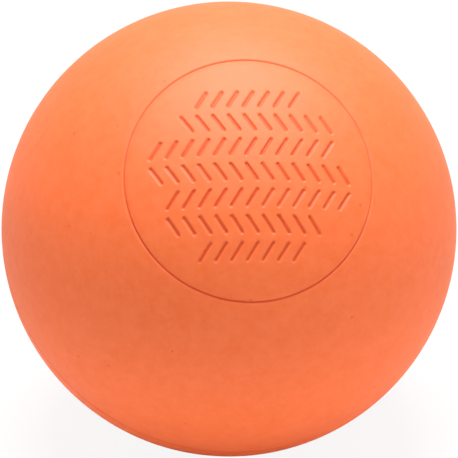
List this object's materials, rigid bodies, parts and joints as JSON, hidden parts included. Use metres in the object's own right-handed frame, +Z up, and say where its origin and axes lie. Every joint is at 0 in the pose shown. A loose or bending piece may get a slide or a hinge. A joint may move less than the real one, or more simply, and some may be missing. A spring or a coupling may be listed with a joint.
{
  "type": "lacrosse ball",
  "caption": "Solid orange rubber lacrosse ball with a fine engraved ring on one side and a mould parting line round its middle.",
  "frame": {"origin": "centre of the ball", "axes": "+Z up and -Y to the front; the mould axis, through the middle of the engraved ring, lies in the YZ plane and looks to the front, 44 degrees above level"},
  "size_m": [0.0634, 0.0634, 0.0634],
  "materials": {
    "cover_rubber": "satin moulded orange rubber with faint mottling",
    "core_rubber": "matt orange-brown rubber"
  },
  "bodies": {
    "root": {"rubber_core": "core_rubber", "marked_half_cover": "cover_rubber", "plain_half_cover": "cover_rubber"}
  },
  "joints": []
}
